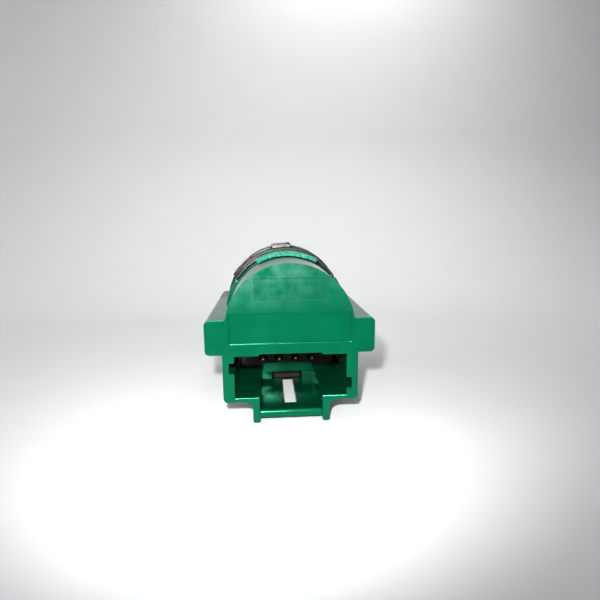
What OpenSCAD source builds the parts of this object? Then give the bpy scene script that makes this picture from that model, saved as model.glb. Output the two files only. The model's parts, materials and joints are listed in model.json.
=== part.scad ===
// Panel push button with a round nose and a keyed four-way connector at its rear.
// +Y points from the connector to the button, +Z is up, +X is to the right seen from the connector.
// Origin: on the button's axis, in the plane of the seats that bear on the panel's back.
// Inside the modules, lengths along Y are measured from the connector face (see from_face).

/* [Rear housing] */
// Radius of the barrel
barrel_r = 8.58; // [8.4:0.02:8.6]
// Half the width over the side rails
rail_x = 11.2; // [10.8:0.1:12]
// Height of the rails' top over the axis
rail_top = 1.3; // [1:0.1:1.6]
// Depth of the rails' underside below the axis
rail_bottom = 3.4; // [3:0.1:3.5]
// Length of the green housing
housing_len = 20; // [20:0.1:20.2]
// Half the width of the connector shroud
shroud_x = 9; // [8.8:0.1:9.4]
// Depth of the shroud's underside below the axis
shroud_bottom = 9.9; // [9.8:0.05:10.2]
// Depth of the feet below the axis
foot_bottom = 13.05; // [13:0.05:13.2]
// Thickness of each foot
foot_wall = 0.95; // [0.8:0.05:1.2]

/* [Connector] */
// Half the width of the socket
socket_x = 7.45; // [7.4:0.05:7.6]
// Height of the socket's ceiling below the axis
socket_top = 3.6; // [3.6:0.05:3.7]
// Depth of the socket's floor below the axis
socket_floor = 9.3; // [9.25:0.05:9.35]
// Depth of the socket, from its mouth to the insulator
socket_len = 13.4; // [13:0.1:13.6]
// Half the width of the latch channel
channel_x = 4.2; // [4:0.05:4.3]
// Depth of the channel's floor below the axis
channel_floor = 11.5; // [11.4:0.05:11.6]
// Distance between the terminals
pin_pitch = 2.54; // [2.5:0.01:2.6]
// Side of a terminal's square section
pin_side = 0.64; // [0.5:0.02:0.7]
// Depth of the terminal row below the axis
pin_drop = 7.1; // [6.9:0.05:7.15]

/* [Front body] */
// Radius of the front body
body_r = 9.75; // [9.7:0.05:9.8]
// Inner radius of the skirt round the barrel
skirt_r = 8.95; // [8.93:0.01:8.97]
// Thickness of the skirt
skirt_t = 0.45; // [0.4:0.05:0.5]
// Distance from the connector face to the panel seats
seat_y = 26.5; // [26.3:0.1:26.8]
// Radius of the nose that passes through the panel
nose_r = 9.4; // [9.3:0.05:9.5]
// Length of the nose in front of the panel seats
nose_len = 2.5; // [2.4:0.1:2.6]

/* [Button] */
// Travel of the button
travel = 1.8; // [1.5:0.1:1.8]
// Radius of the cap
cap_r = 8.2; // [8.1:0.05:8.2]
// Clearance round the cap in its bore
cap_fit = 0.08; // [0.05:0.01:0.1]
// Height of the cap's face in front of the trim ring
cap_proud = 0.8; // [0.6:0.1:1]
// Wire diameter of the return spring
wire = 0.3; // [0.25:0.05:0.3]

/* [Electronics] */
// Thickness of the circuit board
board_t = 1.6; // [1.4:0.1:1.6]
// Distance from the axis to each rubber dome
dome_x = 5.3; // [5.2:0.1:5.4]
// Outer radius of each rubber dome
dome_r = 1.8; // [1.7:0.05:1.8]

/* [Hidden] */
$fn = 96;
eps = 0.05;
slack = 0.05;

// Angles round the axis are measured from the top, positive to the right
tab_angle = 28.5;
arm_angle = 56;
flange_angle = 95;
lug_angle = 43;
lug_half_angle = 5;

// Places along Y
tab_y = 8.4;
collar_y = 12;
skirt_y = 14;
lug_y0 = 16;
lug_y1 = 17.2;
shoulder_y = 22;
ledge_y = 16.2;
board_y1 = ledge_y + board_t;
mat_t = 0.8;
mat_y1 = board_y1 + mat_t;
web_y1 = housing_len + 0.6;
flange_room = 2.85;
stop_y = web_y1 + flange_room;
nose_y1 = seat_y + nose_len;
trim_y1 = nose_y1 + 1;
cap_y1 = trim_y1 + cap_proud;
cap_face_t = 1.4;
cap_face_y = cap_y1 - cap_face_t;

// The button's inner parts
cap_flange_r = cap_r + 0.5;
cap_skirt_t = 1;
cap_flange_t = 0.8;
plate_y = stop_y - cap_flange_t - slack;
plate_t = 1;
plate_hole_r = 2.75;
dome_y1 = mat_y1 + 2.4;
pill_r = 1.1;
pill_t = 0.5;
pad_t = 0.05;
pill_y = board_y1 + pad_t + travel;
shield_r = 2.6;
shield_bore_r = 2.05;
shield_foot_r = 3.3;
shield_y1 = plate_y - 1;
guide_end_y = cap_face_y - travel - 0.4;
indicator_z = 5.2;
lens_r = 2.6;

// The collar, the recesses of the face and the terminals
collar_r = skirt_r - 0.08;
flange_r = 9.3;
tab_r = 9.45;
tab_gap = 0.28;
rib_r = 9.65;
rib_angle = tab_angle - 0.4;
panel_depth = 0.25;
pin_x = [for (i = [0:3]) (i - 1.5) * pin_pitch];
pin_tip_y = 10.2;
insulator_t = 2;
plinth_t = 1.8;
pocket = 1.1;

// The floor plate of the latch channel, and the tips of the feet
plate_front_y = 0.9;
plate_bottom = 12.5;
plate_round = 0.5;
tip_h = 0.4;
tip_inset = 0.18;
slot_x = 0.9;
slot_y = 3.5;
step_bottom = 9.6;

// The return spring, swept along a helix
spring_r = 3.05;
spring_y0 = mat_y1 + wire / 2 + 0.02;
spring_y1 = plate_y - wire / 2 - 0.02;
spring_turns = 5.5;
spring_steps = 110;
spring_sides = 8;
closed_pitch = 1.05 * wire;

module from_face() {
    translate([0, -seat_y, 0]) children();
}

// Extrudes a shape drawn in X and Z from y0 to y1
module along_y(y0, y1) {
    translate([0, y1, 0]) rotate([90, 0, 0]) linear_extrude(y1 - y0) children();
}

module disc(r, y0, y1, x = 0, z = 0) {
    along_y(y0, y1) translate([x, z]) circle(r);
}

module tube(r_out, r_in, y0, y1) {
    along_y(y0, y1) difference() {
        circle(r_out);
        circle(r_in);
    }
}

module block(x0, x1, y0, y1, z0, z1) {
    translate([x0, y0, z0]) cube([x1 - x0, y1 - y0, z1 - z0]);
}

module round_rect(x0, x1, z0, z1, r) {
    translate([x0 + r, z0]) square([x1 - x0 - 2 * r, z1 - z0]);
    translate([x0, z0 + r]) square([x1 - x0, z1 - z0 - 2 * r]);
    for (x = [x0 + r, x1 - r], z = [z0 + r, z1 - r]) translate([x, z]) circle(r);
}

// Flat wedge from angle a0 to a1, out to radius r
module wedge(a0, a1, r) {
    steps = 8;
    polygon(concat([[0, 0]], [
        for (i = [0:steps]) let(a = a0 + (a1 - a0) * i / steps) 1.2 * r * [sin(a), cos(a)]
    ]));
}

// Part of a ring between two radii and two angles
module arc_block(r_in, r_out, a0, a1, y0, y1) {
    along_y(y0, y1) intersection() {
        difference() {
            circle(r_out);
            circle(r_in);
        }
        wedge(a0, a1, r_out);
    }
}

// Cross-section of a foot, narrower at its tip
module foot_outline(side) {
    x0 = channel_x;
    x1 = channel_x + foot_wall;
    z1 = -shroud_bottom + 1;
    tip_z = -foot_bottom + tip_h;
    polygon([for (p = [
        [x0, z1], [x0, tip_z], [x0 + tip_inset, -foot_bottom],
        [x1 - tip_inset, -foot_bottom], [x1, tip_z], [x1, z1]
    ]) [side * p.x, p.y]]);
}

// Concave corner that blends the shroud's underside into a foot
module foot_fillet(side) {
    r = 1.1;
    x = channel_x + foot_wall;
    translate([side * x, -shroud_bottom]) difference() {
        translate([side > 0 ? -eps : -r, -r]) square([r + eps, r + eps]);
        translate([side * r, -r]) circle(r);
    }
}

module housing_outline() {
    circle(barrel_r);
    round_rect(-rail_x, rail_x, -rail_bottom, rail_top, 0.7);
    round_rect(-shroud_x, shroud_x, -shroud_bottom, 0, 0.6);
    for (side = [-1, 1]) {
        foot_outline(side);
        foot_fillet(side);
    }
}

// The plug's space, with its two polarising notches and the relief in its ceiling
module socket_outline() {
    notch_x = socket_x + 0.7;
    translate([-socket_x, -socket_floor]) square([2 * socket_x, socket_floor - socket_top]);
    translate([-notch_x, -5.98]) square([1, 1.48]);
    translate([notch_x - 1, -8.33]) square([1, 1.46]);
    translate([-channel_x, -socket_top - eps]) square([2 * channel_x, 0.25 + eps]);
}

// Green step across the channel's end, under the insulator, with its two feet
module channel_step() {
    step_y = socket_len - plinth_t;
    end_y = socket_len + 1.1;
    side_x = channel_x + eps;
    block(-side_x, side_x, socket_len, end_y, -step_bottom, -socket_floor);
    block(-3.9, 3.9, step_y, socket_len - 0.02, -step_bottom, -8.12);
    block(-side_x, -2.4, step_y + 0.2, end_y, -10.8, -step_bottom + eps);
    block(2.4, side_x, step_y + 1.2, end_y, -10.25, -step_bottom + eps);
    for (x = [-side_x, 2.4])
        block(x, x + side_x - 2.4, socket_len, end_y, -channel_floor - eps, -step_bottom);
}

// Floor of the latch channel, with a rounded front edge
module floor_plate() {
    width = 2 * (channel_x + eps);
    top = -channel_floor + eps;
    back_y = plate_front_y + plate_round;
    block(-width / 2, width / 2, back_y, housing_len, -plate_bottom, top);
    block(-width / 2, width / 2, plate_front_y, back_y + eps, -plate_bottom, top - plate_round);
    translate([-width / 2, back_y, top - plate_round]) rotate([0, 90, 0])
        cylinder(r = plate_round, h = width);
}

// Raised pad on the channel's floor, hollowed into a ramp towards the mouth
module channel_pad() {
    y0 = 4.1;
    ramp_r = 2.4;
    difference() {
        block(3.1, channel_x + eps, y0, y0 + 2, -channel_floor - eps, -channel_floor + 0.65);
        translate([0, y0, -channel_floor + ramp_r]) rotate([0, 90, 0])
            cylinder(r = ramp_r, h = channel_x + 1);
    }
}

// Cuts the feet's front lower edges at a slant
module foot_front_cut() {
    cut = 0.35;
    for (side = [-1, 1]) translate([side * (channel_x + foot_wall / 2), 0, -foot_bottom])
        rotate([45, 0, 0]) cube([2 * foot_wall, 2 * cut / sqrt(2), 2 * cut / sqrt(2)], center = true);
}

module rear_housing() color("seagreen") from_face() {
    difference() {
        union() {
            along_y(0, housing_len) housing_outline();
            floor_plate();
            disc(collar_r, collar_y, housing_len);
            for (side = [-1, 1]) arc_block(
                8, flange_r, side > 0 ? arm_angle + 0.5 : -flange_angle,
                side > 0 ? flange_angle : -arm_angle - 0.5, collar_y, housing_len
            );
            arc_block(8, tab_r, -tab_angle, tab_angle, collar_y - eps, skirt_y - 0.8);
            arc_block(barrel_r + tab_gap, tab_r, -tab_angle, tab_angle, tab_y, collar_y);
            arc_block(8, rib_r, -rib_angle, rib_angle, skirt_y - 1.1, skirt_y - 0.2);
        }
        along_y(-1, housing_len + 1) socket_outline();
        block(-channel_x, channel_x, -1, housing_len + 1, -channel_floor, -socket_floor + eps);
        // Blank panels in the rear face
        block(-4.55, 4.55, -1, panel_depth, 3.75, 6.6);
        block(-8, 8, -1, panel_depth, -1.88, 2.06);
        // Slot in the channel's floor for the plug's latch, open at its far end
        block(-slot_x, slot_x, slot_y, housing_len + 1, -plate_bottom - 1, -channel_floor + 2 * eps);
        foot_front_cut();
        // Hollow of the barrel, open at the board's ledge
        intersection() {
            disc(7.1, 1.6, ledge_y + eps);
            block(-8, 8, 0, housing_len, -2.4, 8);
        }
        disc(7.95, ledge_y, housing_len + 1);
        block(-socket_x, socket_x, ledge_y, housing_len + 1, -socket_floor, -socket_top + 1);
        // Grooves for the skirt's snap lugs
        for (side = [-1, 1]) arc_block(
            8.5, 10, side * lug_angle - lug_half_angle - 0.5, side * lug_angle + lug_half_angle + 0.5,
            lug_y0 - 0.2, lug_y1 + 0.2
        );
    }
    channel_step();
    channel_pad();
}

// Tube that fits over the barrel, cut away for the rails, and the wider body in front of it
module skirt() {
    root_y = housing_len + slack;
    difference() {
        union() {
            disc(skirt_r + skirt_t, skirt_y, seat_y);
            disc(body_r, shoulder_y, seat_y);
        }
        disc(skirt_r, 0, root_y);
        along_y(0, root_y) wedge(arm_angle, 360 - arm_angle, body_r);
    }
}

module front_body() color("dimgray") from_face() {
    difference() {
        union() {
            skirt();
            along_y(housing_len + slack, seat_y) {
                round_rect(-rail_x, rail_x, -rail_bottom, rail_top, 0.7);
                round_rect(-8.6, 8.6, -9.4, 0, 0.6);
            }
            block(-4.8, 4.8, housing_len + slack, housing_len + 2.5, -12.4, -9);
            // Key rib on top, with its peak, and the small block on the left arm
            arc_block(body_r - 0.5, body_r + 0.3, -12, 7, shoulder_y - 0.8, seat_y - 0.3);
            arc_block(body_r - 0.6, body_r + 0.45, 3.2, 6.8, shoulder_y - 0.7, seat_y - 0.4);
            arc_block(skirt_r + 0.2, 9.98, 0.3 - arm_angle, -46.5, skirt_y + 0.1, skirt_y + 4);
            disc(7.9, mat_y1 + slack, web_y1);
            disc(nose_r, seat_y - eps, nose_y1);
        }
        disc(7.2, 0, web_y1 + eps);
        disc(cap_flange_r + 0.1, web_y1, stop_y);
        disc(cap_r + cap_fit, stop_y - eps, nose_y1 + 1);
    }
    // Tongue under the insulator
    block(-2.2, 2.2, socket_len + 0.6, housing_len + 1, -channel_floor + slack, -step_bottom - 0.1);
    // Snap lugs inside the skirt
    for (side = [-1, 1]) arc_block(
        8.6, skirt_r + eps, side * lug_angle - lug_half_angle, side * lug_angle + lug_half_angle,
        lug_y0, lug_y1
    );
}

// Ring that closes the nose, with a rounded front edge
module trim_ring() color("gray") from_face() {
    r_in = cap_r + 0.15;
    r_out = nose_r - 0.05;
    edge = 0.35;
    translate([0, nose_y1, 0]) rotate([-90, 0, 0]) rotate_extrude() {
        translate([r_in, 0]) square([r_out - r_in, trim_y1 - nose_y1 - edge]);
        translate([r_in + edge, 0]) square([r_out - r_in - 2 * edge, trim_y1 - nose_y1]);
        for (x = [r_in + edge, r_out - edge]) translate([x, trim_y1 - nose_y1 - edge]) circle(edge);
    }
}

// Slot-shaped outline of the indicator window
module indicator_slot(w, h) {
    translate([0, indicator_z]) {
        square([w - h, h], center = true);
        for (side = [-1, 1]) translate([side * (w - h) / 2, 0]) circle(h / 2);
    }
}

module push_cap() color("darkslategray") from_face() {
    difference() {
        union() {
            disc(cap_r, plate_y, cap_y1 - 0.4);
            disc(cap_r - 0.4, cap_y1 - 0.5, cap_y1);
            translate([0, cap_y1 - 0.4, 0]) rotate([-90, 0, 0]) rotate_extrude()
                translate([cap_r - 0.4, 0]) circle(0.4);
            disc(cap_flange_r, plate_y, stop_y - slack);
        }
        disc(cap_r - cap_skirt_t, plate_y - 1, cap_face_y);
        disc(lens_r, cap_face_y - 1, cap_y1 + 1);
        along_y(cap_face_y - 1, cap_y1 + 1) indicator_slot(4, 1.2);
    }
}

module cap_lens() color("white") from_face() {
    disc(lens_r - 0.03, cap_face_y + slack, cap_y1 - 0.15);
    disc(lens_r + 0.8, cap_face_y - 0.3, cap_face_y - 0.02);
    disc(lens_r - 0.03, cap_face_y - 0.3, cap_face_y + 0.2);
}

module indicator_lens() color("orange") from_face() {
    along_y(cap_face_y - 0.3, cap_y1 - 0.1) indicator_slot(3.94, 1.14);
    along_y(cap_face_y - 0.3, cap_face_y - 0.02) indicator_slot(5, 2);
}

// Carrier inside the cap: a plate with two legs that press the domes
module plunger() color("ivory") from_face() {
    difference() {
        union() {
            disc(cap_r - cap_skirt_t - 0.02, plate_y, plate_y + plate_t);
            tube(4.2, 3.4, plate_y, cap_face_y - 0.4);
            for (side = [-1, 1]) disc(1, dome_y1 + slack, plate_y + eps, side * dome_x);
        }
        disc(plate_hole_r, plate_y - 1, plate_y + plate_t + 1);
        along_y(plate_y - 1, plate_y + plate_t + 1) indicator_slot(4.4, 1.8);
    }
}

// Compression spring with one closed turn at each end, swept along a helix about Y
function spring_climb(t) =
    let(turn = t * spring_turns)
    let(first = min(turn, 1) * closed_pitch)
    let(last = max(0, turn - (spring_turns - 1)) * closed_pitch)
    let(open = max(0, min(turn, spring_turns - 1) - 1) / (spring_turns - 2))
    first + last + open * (spring_y1 - spring_y0 - 2 * closed_pitch);
function spring_point(i, k) =
    let(t = i / spring_steps, a = 360 * spring_turns * t, b = 360 * k / spring_sides)
    let(r = spring_r + wire / 2 * cos(b))
    [r * cos(a), spring_y0 + spring_climb(t) + wire / 2 * sin(b), -r * sin(a)];

module return_spring() color("silver") from_face() {
    n = spring_sides;
    points = [for (i = [0:spring_steps], k = [0:n - 1]) spring_point(i, k)];
    sides = [
        for (i = [0:spring_steps - 1], k = [0:n - 1])
            [i * n + k, i * n + (k + 1) % n, (i + 1) * n + (k + 1) % n, (i + 1) * n + k]
    ];
    ends = [[for (k = [n - 1:-1:0]) k], [for (k = [0:n - 1]) spring_steps * n + k]];
    polyhedron(points, concat(sides, ends));
}

// Rubber mat on the board, with one dome under each leg of the plunger
module dome_mat() color("slategray") from_face() {
    wall = 0.35;
    top_r = 1.45;
    height = dome_y1 - mat_y1;
    hollow = pill_y + pill_t + 0.02 - board_y1 + eps;
    difference() {
        union() {
            disc(7.1, board_y1 + 0.02, mat_y1);
            for (side = [-1, 1]) translate([side * dome_x, mat_y1 - eps, 0]) rotate([-90, 0, 0])
                cylinder(r1 = dome_r, r2 = top_r, h = height + eps);
        }
        disc(shield_foot_r + 0.1, 0, dome_y1);
        for (side = [-1, 1]) translate([side * dome_x, board_y1 - eps, 0]) rotate([-90, 0, 0])
            cylinder(r1 = dome_r - wall, r2 = top_r - wall + 0.12, h = hollow);
        block(-8, 8, 0, dome_y1, -8, -5.6);
        along_y(0, dome_y1) indicator_slot(5.4, 2.8);
        for (side = [-1, 1]) block(side * 2.6 - 0.95, side * 2.6 + 0.95, 0, dome_y1, -5.7, -4.3);
    }
}

module contact_pill(side) color("black") from_face() {
    disc(pill_r * 0.9, pill_y, pill_y + pill_t, side * dome_x);
}

module contact_pill_left() { contact_pill(-1); }

module contact_pill_right() { contact_pill(1); }

module circuit_board() color("darkgreen") from_face() {
    difference() {
        along_y(ledge_y + 0.02, board_y1) {
            circle(7.85);
            round_rect(-socket_x + 0.15, socket_x - 0.15, -9.15, 0, 0.4);
        }
        for (x = pin_x) disc(0.5, 0, housing_len, x, -pin_drop);
    }
}

// Two half-round pads under each pill
module contact_pads() color("goldenrod") from_face() {
    for (side = [-1, 1]) along_y(board_y1, board_y1 + pad_t) translate([side * dome_x, 0])
        difference() {
            circle(pill_r + 0.15);
            square([0.3, 3], center = true);
        }
}

// Surface-mount lamp: a white case with a clear drop of resin
module lamp(z) {
    block(-1.4, 1.4, board_y1 + 0.02, board_y1 + 0.9, z - 0.8, z + 0.8);
    disc(0.65, board_y1 + 0.85, board_y1 + 1.1, 0, z);
}

module led_backlight() color("whitesmoke") from_face() { lamp(0); }

module led_indicator() color("khaki") from_face() { lamp(indicator_z); }

module chip_resistor(x) {
    block(x - 0.8, x + 0.8, board_y1 + 0.02, board_y1 + 0.5, -5.4, -4.6);
}

module resistor_backlight() color("black") from_face() { chip_resistor(-2.6); }

module resistor_indicator() color("black") from_face() { chip_resistor(2.6); }

// Clear rod that takes the lamp's light to the back of the cap
module light_guide() color("lightcyan") from_face() {
    disc(shield_bore_r - 0.05, board_y1 + 1.4, shield_y1 + eps);
    disc(shield_r - 0.05, shield_y1 + 0.02, shield_y1 + 0.6);
    disc(2.3, shield_y1 + 0.5, guide_end_y);
}

// Clear bar over the indicator lamp, standing on the board
module indicator_light_pipe() color("lightcyan") from_face() {
    difference() {
        union() {
            along_y(board_y1 + 0.02, board_y1 + 1.8) indicator_slot(5.2, 2.6);
            along_y(board_y1 + 1.7, guide_end_y) indicator_slot(3.8, 1.2);
        }
        block(-1.5, 1.5, 0, board_y1 + 1.2, indicator_z - 0.9, indicator_z + 0.9);
    }
}

// White tube round the lamp; its foot carries the return spring
module light_shield() color("white") from_face() {
    difference() {
        union() {
            disc(shield_foot_r, board_y1 + 0.02, mat_y1);
            disc(shield_r, mat_y1 - eps, shield_y1);
        }
        disc(shield_bore_r, 0, housing_len + 5);
    }
}

// Black block at the socket's end that holds the four terminals
module terminal_insulator() color("black") from_face() {
    difference() {
        union() {
            block(-socket_x + slack, socket_x - slack, socket_len, socket_len + insulator_t,
                -socket_floor + slack, -socket_top - slack);
            block(-4.7, 4.7, socket_len - plinth_t, socket_len + eps, -8.1, -5.4);
        }
        for (x = pin_x) {
            block(x - pocket / 2, x + pocket / 2, 0, socket_len - plinth_t + 1,
                -pin_drop - pocket / 2, -pin_drop + pocket / 2);
            block(x - pin_side / 2, x + pin_side / 2, 0, housing_len,
                -pin_drop - pin_side / 2, -pin_drop + pin_side / 2);
        }
    }
}

// Straight square terminal from the socket to the board, with a tapered tip
module terminal(i) color("peru") from_face() {
    taper = 0.5;
    translate([pin_x[i], 0, -pin_drop]) {
        translate([0, pin_tip_y + taper, 0]) rotate([90, 0, 0])
            linear_extrude(taper, scale = 0.55) square(pin_side, center = true);
        block(-pin_side / 2, pin_side / 2, pin_tip_y + taper, board_y1 + 0.75,
            -pin_side / 2, pin_side / 2);
    }
}

module terminal_1() { terminal(0); }

module terminal_2() { terminal(1); }

module terminal_3() { terminal(2); }

module terminal_4() { terminal(3); }

// One fillet of solder round each terminal, on the board's front
module solder_joints() color("lightgray") from_face() {
    for (x = pin_x) difference() {
        translate([x, board_y1 + 0.01, -pin_drop]) rotate([-90, 0, 0])
            cylinder(r1 = 0.95, r2 = 0.5, h = 0.6);
        block(x - pin_side / 2, x + pin_side / 2, 0, housing_len,
            -pin_drop - pin_side / 2, -pin_drop + pin_side / 2);
    }
}

rear_housing();
front_body();
trim_ring();
push_cap();
cap_lens();
indicator_lens();
plunger();
return_spring();
dome_mat();
contact_pill_left();
contact_pill_right();
circuit_board();
contact_pads();
led_backlight();
led_indicator();
resistor_backlight();
resistor_indicator();
light_guide();
indicator_light_pipe();
light_shield();
terminal_insulator();
terminal_1();
terminal_2();
terminal_3();
terminal_4();
solder_joints();
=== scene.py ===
"""Looks, light and camera for the panel push button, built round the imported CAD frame.

+Y points from the connector to the button, +Z is up, and +X is to the right seen from the connector.
Sizes that a person would give in millimetres are written times MM.
"""
import json
import math

import bmesh
import bpy
from mathutils import Matrix, Vector


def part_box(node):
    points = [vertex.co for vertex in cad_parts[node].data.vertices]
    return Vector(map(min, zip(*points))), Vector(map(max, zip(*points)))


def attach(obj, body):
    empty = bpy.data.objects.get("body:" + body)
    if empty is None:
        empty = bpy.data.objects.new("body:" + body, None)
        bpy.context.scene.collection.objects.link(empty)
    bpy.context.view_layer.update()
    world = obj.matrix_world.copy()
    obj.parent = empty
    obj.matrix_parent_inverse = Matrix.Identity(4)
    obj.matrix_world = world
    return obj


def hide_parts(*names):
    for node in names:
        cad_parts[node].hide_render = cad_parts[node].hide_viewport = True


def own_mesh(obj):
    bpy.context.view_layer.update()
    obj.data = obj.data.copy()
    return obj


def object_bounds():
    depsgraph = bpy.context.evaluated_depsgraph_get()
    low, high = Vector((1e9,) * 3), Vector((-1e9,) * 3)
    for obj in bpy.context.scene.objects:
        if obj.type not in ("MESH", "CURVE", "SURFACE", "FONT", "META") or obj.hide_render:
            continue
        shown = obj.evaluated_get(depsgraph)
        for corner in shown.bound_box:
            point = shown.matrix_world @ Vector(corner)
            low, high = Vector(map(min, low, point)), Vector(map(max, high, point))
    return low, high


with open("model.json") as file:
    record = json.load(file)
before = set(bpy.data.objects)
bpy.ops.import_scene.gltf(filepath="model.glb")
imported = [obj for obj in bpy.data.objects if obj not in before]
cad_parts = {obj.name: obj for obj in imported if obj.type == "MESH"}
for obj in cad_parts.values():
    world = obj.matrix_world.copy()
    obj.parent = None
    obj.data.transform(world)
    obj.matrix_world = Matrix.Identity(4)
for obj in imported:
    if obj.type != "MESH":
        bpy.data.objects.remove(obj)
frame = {"nodes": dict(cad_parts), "record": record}
cad_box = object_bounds()

MM = 0.001

# Places in the frame. FACE_Y is the housing's connector face.
FACE_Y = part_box("rear_housing")[0].y
FLOOR_Z = cad_box[0].z
DOME_FOOT_Y = FACE_Y + 18.62 * MM
BARREL_R = 8.7 * MM
TAB_FRONT_Y = FACE_Y + 9 * MM
ARM_END_Z = 5.5 * MM
SOCKET_X = 8.2 * MM
SOCKET_LOW = -11.6 * MM
SOCKET_TOP = -3.3 * MM
RAIL_TOP_Z = 1.2 * MM
SOCKET_MOUTH_DEPTH = 0.1 * MM
STEP_DEPTH = 3 * MM
TONGUE_X = 2.3 * MM
TONGUE_Y = FACE_Y + 15 * MM
TONGUE_TOP = -9.2 * MM

# Rounded edges and shading
MERGE_DISTANCE = 0.001 * MM
BEVEL_SEGMENTS = 2
BEVEL_ANGLE = 35
CREASE_ANGLE = 20
SOFT_CREASE_ANGLE = 50
FACING = 0.9

# Camera
CAMERA_AT = Vector((-2.86, -84.5, 13.67)) * MM
CAMERA_PITCH = 9.655
CAMERA_YAW = -4.081
CAMERA_ROLL = -0.540
CAMERA_LENS = 27.41

# Light: a small key beside the lens, a fill from the left, a wash on the floor's sweep, and a pale room
KEY_OFFSET = Vector((-4.2, 8.5, 0)) * MM
KEY_RADIUS = 1.6 * MM
KEY_POWER = 0.47
KEY_CONE = 101
KEY_TURN = 1.5
FILL_AT = Vector((-0.30, -0.02, 0.16))
FILL_POWER = 0.25
FILL_SIZE = 0.16
WASH_AT = Vector((0.03, 0.065, 0.17))
WASH_TOWARDS = Vector((0, 0.065, -0.10))
WASH_POWER = 0.54
WASH_RADIUS = 0.02
WASH_CONE = 130
ROOM_COLOUR = (0.95, 0.98, 1.0)
ROOM_BEHIND_CAMERA = 0.20
ROOM_AHEAD = 0.88
ROOM_SEEN = 0.80


# ---------------------------------------------------------------- node helpers

def new_material(name, **sockets):
    """A Principled material. Each keyword is one of its sockets, with _ for a space."""
    material = bpy.data.materials.new(name)
    material.use_nodes = True
    shader = material.node_tree.nodes["Principled BSDF"]
    for key, value in sockets.items():
        shader.inputs[key.replace("_", " ")].default_value = value
    return material


def shader_of(material):
    return material.node_tree.nodes["Principled BSDF"]


def millimetres(tree):
    """The point on the piece, in the frame, in millimetres."""
    place = tree.nodes.new("ShaderNodeTexCoord")
    scaled = tree.nodes.new("ShaderNodeVectorMath")
    scaled.operation = "SCALE"
    scaled.inputs["Scale"].default_value = 1 / MM
    tree.links.new(place.outputs["Object"], scaled.inputs[0])
    return scaled.outputs["Vector"]


def noise(tree, size, detail=3.0, roughness=0.5, stretch=(1, 1, 1)):
    """Noise between 0 and 1 whose spots are about size millimetres across."""
    mapping = tree.nodes.new("ShaderNodeMapping")
    mapping.inputs["Scale"].default_value = stretch
    node = tree.nodes.new("ShaderNodeTexNoise")
    node.inputs["Scale"].default_value = 1 / size
    node.inputs["Detail"].default_value = detail
    node.inputs["Roughness"].default_value = roughness
    tree.links.new(millimetres(tree), mapping.inputs["Vector"])
    tree.links.new(mapping.outputs["Vector"], node.inputs["Vector"])
    return node.outputs["Fac"]


def remap(tree, value, low, high, from_low=0.3, from_high=0.7):
    """Stretches value so that from_low gives low and from_high gives high."""
    node = tree.nodes.new("ShaderNodeMapRange")
    node.inputs["From Min"].default_value = from_low
    node.inputs["From Max"].default_value = from_high
    node.inputs["To Min"].default_value = low
    node.inputs["To Max"].default_value = high
    tree.links.new(value, node.inputs["Value"])
    return node.outputs["Result"]


def mix_colours(tree, factor, first, second):
    """Colour from first, where factor is 0, to second, where it is 1."""
    node = tree.nodes.new("ShaderNodeMix")
    node.data_type = "RGBA"
    tree.links.new(factor, node.inputs["Factor"])
    for socket, colour in ((node.inputs[6], first), (node.inputs[7], second)):
        if isinstance(colour, tuple):
            socket.default_value = (*colour, 1)
        else:
            tree.links.new(colour, socket)
    return node.outputs[2]


def add_bump(material, height, depth):
    """Raises the surface by height times depth millimetres, over any bump that is there already."""
    tree = material.node_tree
    node = tree.nodes.new("ShaderNodeBump")
    node.inputs["Distance"].default_value = depth * MM
    tree.links.new(height, node.inputs["Height"])
    normal = shader_of(material).inputs["Normal"]
    if normal.links:
        tree.links.new(normal.links[0].from_socket, node.inputs["Normal"])
    tree.links.new(node.outputs["Normal"], normal)


def moulded_plastic(name, colour, light_colour, roughness, grain=0.004, grain_size=0.12, cloud_size=3.0,
                    tint=None, **sockets):
    """Moulded plastic: cloudy colour, uneven gloss, a slow waviness and a fine moulded grain."""
    material = new_material(name, **sockets)
    tree = material.node_tree
    shader = shader_of(material)
    cloud = remap(tree, noise(tree, cloud_size), 0, 1)
    tree.links.new(mix_colours(tree, cloud, colour, light_colour), shader.inputs["Base Color"])
    if tint:
        shader.inputs["Specular Tint"].default_value = (*tint, 1)
    gloss = remap(tree, noise(tree, 0.9, detail=5), roughness * 0.8, roughness * 1.25)
    tree.links.new(gloss, shader.inputs["Roughness"])
    add_bump(material, noise(tree, 2.5, detail=1), 0.02)
    add_bump(material, noise(tree, grain_size, detail=2), grain)
    return material


def paint_highlight_haze(material, colour):
    """Paints a pale highlight haze in patches over the top of the face, more to the left: the key light's
    gloss, painted into the base colour.
    """
    tree = material.node_tree
    shader = shader_of(material)
    axes = tree.nodes.new("ShaderNodeSeparateXYZ")
    tree.links.new(millimetres(tree), axes.inputs["Vector"])
    height = remap(tree, axes.outputs["Z"], 0, 1, from_low=2.0, from_high=6.5)
    side = remap(tree, axes.outputs["X"], 1, 0.35, from_low=-4.0, from_high=4.0)
    amount = remap(tree, noise(tree, 2.2, detail=5, roughness=0.6), 0, 1, from_low=0.36, from_high=0.72)
    for factor in (height, side):
        product = tree.nodes.new("ShaderNodeMath")
        product.operation = "MULTIPLY"
        tree.links.new(amount, product.inputs[0])
        tree.links.new(factor, product.inputs[1])
        amount = product.outputs["Value"]
    clean = shader.inputs["Base Color"].links[0].from_socket
    tree.links.new(mix_colours(tree, amount, clean, colour), shader.inputs["Base Color"])


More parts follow.
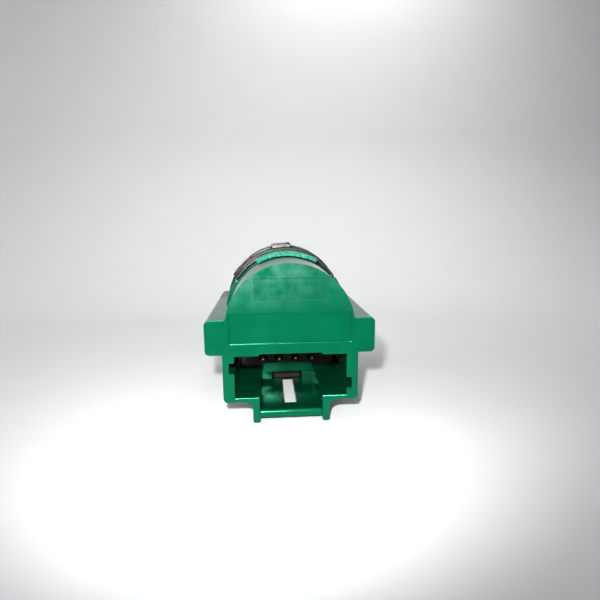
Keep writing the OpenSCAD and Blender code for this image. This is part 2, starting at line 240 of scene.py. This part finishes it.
def metal(name, colour, worn_colour, roughness):
    """Drawn or plated metal with fine lines along Y and slight tarnish."""
    material = new_material(name, Metallic=1.0)
    tree = material.node_tree
    shader = shader_of(material)
    tarnish = remap(tree, noise(tree, 0.5, detail=4), 0, 1)
    tree.links.new(mix_colours(tree, tarnish, colour, worn_colour), shader.inputs["Base Color"])
    gloss = remap(tree, noise(tree, 0.2, detail=3), roughness * 0.8, roughness * 1.3)
    tree.links.new(gloss, shader.inputs["Roughness"])
    add_bump(material, noise(tree, 0.05, stretch=(1, 0.1, 1)), 0.001)
    return material


# ------------------------------------------------------------------- materials

GREEN_TINT = (0.12, 0.75, 0.50)


def make_materials():
    green = moulded_plastic(
        "green_plastic", (0.0, 0.056, 0.023), (0.0, 0.069, 0.030), 0.20, grain=0.006, tint=GREEN_TINT)
    # The pale patches are a painted highlight: the key light's haze on the upper left of the face, put into
    # the colour.
    paint_highlight_haze(green, (0.040, 0.145, 0.112))
    return {
        "green": green,
        # A darker copy of the housing green: painted shade for the inside of the socket and the gap under
        # the black arms.
        "green_painted_shade": moulded_plastic(
            "green_painted_shade", (0.0, 0.030, 0.010), (0.0, 0.037, 0.014), 0.20, tint=GREEN_TINT),
        # Matt green for the top of the barrel. Its base is lighter than the housing green: a painted grazing
        # reflection.
        "green_matt_painted_reflection": moulded_plastic(
            "green_matt_painted_reflection", (0.002, 0.082, 0.043), (0.004, 0.102, 0.055), 0.42, grain=0.01,
            Sheen_Weight=0.06, Sheen_Roughness=0.3),
        # Sparked texture with painted glints: its pale mottle stands in for the key light glinting off the
        # rough front of the tab.
        "green_rough_painted_glints": moulded_plastic(
            "green_sparked_painted_glints", (0.0, 0.040, 0.022), (0.04, 0.27, 0.20), 0.45, grain=0.05, grain_size=0.16,
            cloud_size=0.32, tint=GREEN_TINT),
        "black": moulded_plastic(
            "black_plastic", (0.009, 0.008, 0.007), (0.014, 0.012, 0.011), 0.28),
        "trim": moulded_plastic(
            "trim_plastic", (0.055, 0.057, 0.060), (0.070, 0.072, 0.075), 0.30),
        "cap": moulded_plastic(
            "cap_plastic", (0.022, 0.023, 0.025), (0.030, 0.031, 0.033), 0.45, grain=0.010, grain_size=0.10),
        "white_window": moulded_plastic(
            "white_window", (0.74, 0.75, 0.72), (0.80, 0.81, 0.79), 0.32, Transmission_Weight=0.25),
        "amber_window": moulded_plastic(
            "amber_window", (0.80, 0.28, 0.02), (0.86, 0.36, 0.05), 0.28, Transmission_Weight=0.35),
        "natural": moulded_plastic(
            "natural_plastic", (0.68, 0.66, 0.58), (0.74, 0.72, 0.65), 0.42),
        "reflector": moulded_plastic(
            "reflector_white", (0.78, 0.78, 0.76), (0.84, 0.84, 0.83), 0.45),
        "insulator": moulded_plastic(
            "insulator_plastic", (0.006, 0.005, 0.005), (0.010, 0.009, 0.009), 0.50, Specular_IOR_Level=0.2),
        "silicone": moulded_plastic(
            "silicone", (0.24, 0.26, 0.28), (0.30, 0.32, 0.34), 0.55, Subsurface_Weight=0.15),
        "carbon": moulded_plastic(
            "carbon_pill", (0.012, 0.012, 0.013), (0.022, 0.022, 0.023), 0.70),
        "board": moulded_plastic(
            "board_laminate", (0.010, 0.090, 0.040), (0.016, 0.120, 0.055), 0.38),
        "lamp_case": moulded_plastic(
            "lamp_case", (0.76, 0.75, 0.68), (0.82, 0.81, 0.75), 0.40),
        "ceramic": moulded_plastic(
            "chip_ceramic", (0.020, 0.020, 0.022), (0.030, 0.030, 0.032), 0.50),
        "acrylic": moulded_plastic(
            "clear_acrylic", (0.90, 0.94, 0.95), (0.95, 0.97, 0.98), 0.12, Transmission_Weight=0.9),
        "copper": metal("terminal_copper", (0.34, 0.25, 0.19), (0.24, 0.17, 0.13), 0.38),
        "steel": metal("spring_steel", (0.60, 0.60, 0.61), (0.45, 0.45, 0.46), 0.28),
        "gold": metal("gold_pad", (0.95, 0.70, 0.30), (0.85, 0.60, 0.25), 0.25),
        "solder": metal("solder", (0.72, 0.73, 0.75), (0.55, 0.56, 0.58), 0.32),
    }


# For each CAD node: its material here, and the record's slot
NODE_LOOKS = {
    "rear_housing": ("green", "green_plastic"),
    "front_body": ("black", "black_plastic"),
    "trim_ring": ("trim", "trim_plastic"),
    "push_cap": ("cap", "cap_plastic"),
    "cap_lens": ("white_window", "window_white"),
    "indicator_lens": ("amber_window", "window_amber"),
    "plunger": ("natural", "natural_plastic"),
    "return_spring": ("steel", "spring_steel"),
    "dome_mat": ("silicone", "silicone"),
    "contact_pill_left": ("carbon", "carbon_pill"),
    "contact_pill_right": ("carbon", "carbon_pill"),
    "circuit_board": ("board", "board_laminate"),
    "contact_pads": ("gold", "gold_pad"),
    "led_backlight": ("lamp_case", "lamp_case"),
    "led_indicator": ("lamp_case", "lamp_case"),
    "resistor_backlight": ("ceramic", "chip_ceramic"),
    "resistor_indicator": ("ceramic", "chip_ceramic"),
    "light_guide": ("acrylic", "clear_acrylic"),
    "indicator_light_pipe": ("acrylic", "clear_acrylic"),
    "light_shield": ("reflector", "reflector_white"),
    "terminal_insulator": ("insulator", "insulator_plastic"),
    "terminal_1": ("copper", "terminal_copper"),
    "terminal_2": ("copper", "terminal_copper"),
    "terminal_3": ("copper", "terminal_copper"),
    "terminal_4": ("copper", "terminal_copper"),
    "solder_joints": ("solder", "solder"),
}

BODY_OF = {
    node: body
    for body, members in frame["record"]["behaviour"]["bodies"].items()
    for node in members
}


# ---------------------------------------------------------------------- pieces

def set_material(piece, material):
    piece.data.materials.clear()
    piece.data.materials.append(material)


def merged(source, name):
    """A copy of a mesh with its doubled points merged."""
    mesh = bpy.data.meshes.new(name)
    shape = bmesh.new()
    shape.from_mesh(source)
    bmesh.ops.remove_doubles(shape, verts=shape.verts, dist=MERGE_DISTANCE)
    shape.to_mesh(mesh)
    shape.free()
    return mesh


def clean_copy(node, name):
    """A piece with the shape of a CAD node."""
    piece = bpy.data.objects.new(name, merged(frame["nodes"][node].data, name))
    bpy.context.scene.collection.objects.link(piece)
    return piece


def round_edges(piece, width):
    """Rounds every edge sharper than BEVEL_ANGLE, and keeps every point inside the box of the piece."""
    bevel = piece.modifiers.new("round_edges", "BEVEL")
    bevel.width = width
    bevel.segments = BEVEL_SEGMENTS
    bevel.limit_method = "ANGLE"
    bevel.angle_limit = math.radians(BEVEL_ANGLE)
    bevel.use_clamp_overlap = False
    bevel.miter_outer = "MITER_ARC"
    bpy.context.view_layer.update()
    rounded = bpy.data.meshes.new_from_object(piece.evaluated_get(bpy.context.evaluated_depsgraph_get()))
    piece.modifiers.clear()
    places = [vertex.co for vertex in piece.data.vertices]
    for axis in range(3):
        low = min(place[axis] for place in places)
        high = max(place[axis] for place in places)
        for vertex in rounded.vertices:
            vertex.co[axis] = min(max(vertex.co[axis], low), high)
    piece.data = merged(rounded, piece.name)


def smooth(piece, crease_angle):
    """Smooth shading, with a crease at every edge sharper than crease_angle."""
    piece.data.shade_smooth()
    piece.data.set_sharp_from_angle(angle=math.radians(crease_angle))


def shade(piece):
    """Smooth shading for a piece with rounded edges. Its wide flat faces stay flat."""
    smooth(piece, CREASE_ANGLE)
    weighted = piece.modifiers.new("even_shading", "WEIGHTED_NORMAL")
    weighted.weight = 100
    weighted.keep_sharp = True


def declare(piece, node, materials):
    """Gives the piece the node's material and body, and lets it stand for the node."""
    look, slot = NODE_LOOKS[node]
    set_material(piece, materials[look])
    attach(piece, BODY_OF[node])
    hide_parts(node)


def finished(node, materials, edge):
    """The visible piece that stands for a CAD node: the same shape with rounded edges."""
    piece = clean_copy(node, node + "_finished")
    if edge:
        round_edges(piece, edge)
    shade(piece)
    declare(piece, node, materials)
    return piece


def vary_housing(piece, materials):
    """The housing's skins: sparked, with painted glints, on the front of its top tab; matt, lightened by a
    painted grazing reflection, on the barrel; and painted shade, a darker copy of the green, deep in the
    socket and in the gap under the black arms."""
    for look in ("green_rough_painted_glints", "green_matt_painted_reflection", "green_painted_shade"):
        piece.data.materials.append(materials[look])
    rough_painted_glints, matt_painted_reflection, painted_shade = 1, 2, 3
    for face in piece.data.polygons:
        out = Vector((face.center.x, 0, face.center.z))
        depth = face.center.y - FACE_Y
        facing_out = face.normal.y < -FACING
        in_socket = (abs(out.x) < SOCKET_X and SOCKET_LOW < out.z < SOCKET_TOP and depth > SOCKET_MOUTH_DEPTH
                     and face.normal.y < FACING)
        # Painted shade: the socket's floors, walls and ceiling, and its back beyond the step, get the darker
        # green.
        if in_socket and (face.normal.y > -0.1 or depth > STEP_DEPTH):
            face.material_index = painted_shade
        elif out.z < RAIL_TOP_Z:
            continue
        # Painted glints on the tab's sparked front.
        elif facing_out and out.length > BARREL_R and face.center.y < TAB_FRONT_Y:
            face.material_index = rough_painted_glints
        # Painted shade in the narrow gap under the black arms.
        elif facing_out and out.z > ARM_END_Z and face.center.y > TAB_FRONT_Y:
            face.material_index = painted_shade
        # Painted grazing reflection: the barrel's outer top gets the lighter matt green.
        elif out.length < BARREL_R and face.normal.dot(out.normalized()) > 0.5:
            face.material_index = matt_painted_reflection


def dull_tongue(piece, materials):
    """The front body's tongue, seen through the latch channel, is duller than the rest."""
    piece.data.materials.append(materials["insulator"])
    for face in piece.data.polygons:
        if abs(face.center.x) < TONGUE_X and face.center.y < TONGUE_Y and face.center.z < TONGUE_TOP:
            face.material_index = 1


def cut_across(piece, y, far_side):
    """Keeps only the part of the piece on one side of a plane across Y."""
    shape = bmesh.new()
    shape.from_mesh(piece.data)
    bmesh.ops.bisect_plane(
        shape, geom=[*shape.verts, *shape.edges, *shape.faces], plane_co=(0, y, 0), plane_no=(0, 1, 0),
        clear_inner=far_side, clear_outer=not far_side)
    shape.to_mesh(piece.data)
    shape.free()


def make_soft_pieces(materials):
    """The spring and the rubber domes as pieces of their own, the domes cut from the sheet they stand on. In
    the real button they shorten as it goes in.
    """
    spring_y0, spring_y1 = (corner.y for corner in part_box("return_spring"))
    dome_y1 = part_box("dome_mat")[1].y
    sheet = clean_copy("dome_mat", "dome_mat_sheet")
    cut_across(sheet, DOME_FOOT_Y, far_side=False)
    declare(sheet, "dome_mat", materials)
    domes = clean_copy("dome_mat", "dome_mat_domes")
    cut_across(domes, DOME_FOOT_Y, far_side=True)
    spring = clean_copy("return_spring", "return_spring_working")
    for piece, node, y0, y1 in ((domes, "dome_mat", DOME_FOOT_Y, dome_y1),
                                (spring, "return_spring", spring_y0, spring_y1)):
        smooth(piece, SOFT_CREASE_ANGLE)
        declare(piece, node, materials)
        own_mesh(piece)


def make_pieces(materials):
    edges = {
        "rear_housing": 0.08 * MM,
        "front_body": 0.12 * MM,
        "trim_ring": 0,
        "push_cap": 0.05 * MM,
        "terminal_insulator": 0.08 * MM,
        "terminal_1": 0.06 * MM,
        "terminal_2": 0.06 * MM,
        "terminal_3": 0.06 * MM,
        "terminal_4": 0.06 * MM,
    }
    made = {node: finished(node, materials, edge) for node, edge in edges.items()}
    vary_housing(made["rear_housing"], materials)
    dull_tongue(made["front_body"], materials)
    make_soft_pieces(materials)
    for node, (look, _) in NODE_LOOKS.items():
        if node not in (*edges, "dome_mat", "return_spring"):
            set_material(frame["nodes"][node], materials[look])


# ----------------------------------------------------------- floor, light, view

def make_floor():
    """A pale sheet that lies flat under the object and sweeps up behind it."""
    half_width = 900 * MM
    front_y = -900 * MM
    bend_y = 42 * MM
    bend_r = 60 * MM
    wall_top = 700 * MM
    steps = 24
    profile = [(front_y, 0), (bend_y, 0)]
    for i in range(1, steps + 1):
        turn = math.radians(90) * i / steps
        profile.append((bend_y + bend_r * math.sin(turn), bend_r * (1 - math.cos(turn))))
    profile.append((bend_y + bend_r, wall_top))
    points = [(x, y, FLOOR_Z + z) for y, z in profile for x in (-half_width, half_width)]
    faces = [(2 * i, 2 * i + 1, 2 * i + 3, 2 * i + 2) for i in range(len(profile) - 1)]
    mesh = bpy.data.meshes.new("floor")
    mesh.from_pydata(points, [], faces)
    mesh.shade_smooth()
    floor = bpy.data.objects.new("floor", mesh)
    bpy.context.scene.collection.objects.link(floor)
    material = new_material("paper", Roughness=0.85, Specular_IOR_Level=0.2)
    tree = material.node_tree
    colour = mix_colours(tree, noise(tree, 9.0), (0.71, 0.71, 0.72), (0.74, 0.74, 0.745))
    tree.links.new(colour, shader_of(material).inputs["Base Color"])
    add_bump(material, noise(tree, 0.35, detail=4), 0.01)
    set_material(floor, material)


def make_camera():
    camera = bpy.data.objects.new("camera", bpy.data.cameras.new("camera"))
    camera.data.lens = CAMERA_LENS
    camera.data.clip_start = 1 * MM
    camera.data.clip_end = 10
    turn = Matrix.Rotation(math.radians(CAMERA_YAW), 4, "Z")
    tilt = Matrix.Rotation(math.radians(90 - CAMERA_PITCH), 4, "X")
    roll = Matrix.Rotation(math.radians(CAMERA_ROLL), 4, "Z")
    camera.matrix_world = Matrix.Translation(CAMERA_AT) @ turn @ tilt @ roll
    bpy.context.scene.collection.objects.link(camera)
    bpy.context.scene.camera = camera
    return camera


def add_light(name, kind, place, power, colour=(1, 1, 1), **values):
    """A light at place that looks at the object. Each keyword is one of its own settings."""
    data = bpy.data.lights.new(name, kind)
    data.energy = power
    data.color = colour
    for key, value in values.items():
        setattr(data, key, value)
    light = bpy.data.objects.new(name, data)
    light.location = place
    light.visible_camera = False
    light.rotation_mode = "QUATERNION"
    light.rotation_quaternion = (-light.location).to_track_quat("-Z", "Y")
    bpy.context.scene.collection.objects.link(light)
    return light


def make_light(camera):
    key = add_light("key", "SPOT", camera.matrix_world @ KEY_OFFSET, KEY_POWER, shadow_soft_size=KEY_RADIUS,
                    spot_size=math.radians(KEY_CONE), spot_blend=1)
    turn = Matrix.Rotation(math.radians(KEY_TURN), 4, "Y")
    key.rotation_quaternion = (camera.matrix_world @ turn).to_quaternion()
    add_light("fill_left", "AREA", FILL_AT, FILL_POWER, size=FILL_SIZE)
    wash = add_light("wall_wash", "SPOT", WASH_AT, WASH_POWER, shadow_soft_size=WASH_RADIUS,
                     spot_size=math.radians(WASH_CONE), spot_blend=1)
    wash.rotation_quaternion = WASH_TOWARDS.to_track_quat("-Z", "Y")
    bpy.context.scene.world = make_room()
    bpy.context.scene.view_settings.view_transform = "Standard"


def make_room():
    """Pale surroundings, dimmer on the connector's side. A camera sees them as one even grey."""
    world = bpy.data.worlds.new("room")
    world.use_nodes = True
    tree = world.node_tree
    background = tree.nodes["Background"]
    background.inputs["Color"].default_value = (*ROOM_COLOUR, 1)
    direction = tree.nodes.new("ShaderNodeTexCoord")
    axes = tree.nodes.new("ShaderNodeSeparateXYZ")
    tree.links.new(direction.outputs["Generated"], axes.inputs["Vector"])
    light = remap(tree, axes.outputs["Y"], ROOM_BEHIND_CAMERA, ROOM_AHEAD, from_low=-0.8, from_high=0.3)
    path = tree.nodes.new("ShaderNodeLightPath")
    seen = tree.nodes.new("ShaderNodeMix")
    tree.links.new(path.outputs["Is Camera Ray"], seen.inputs["Factor"])
    tree.links.new(light, seen.inputs["A"])
    seen.inputs["B"].default_value = ROOM_SEEN
    tree.links.new(seen.outputs["Result"], background.inputs["Strength"])
    return world


make_floor()
make_light(make_camera())
make_pieces(make_materials())
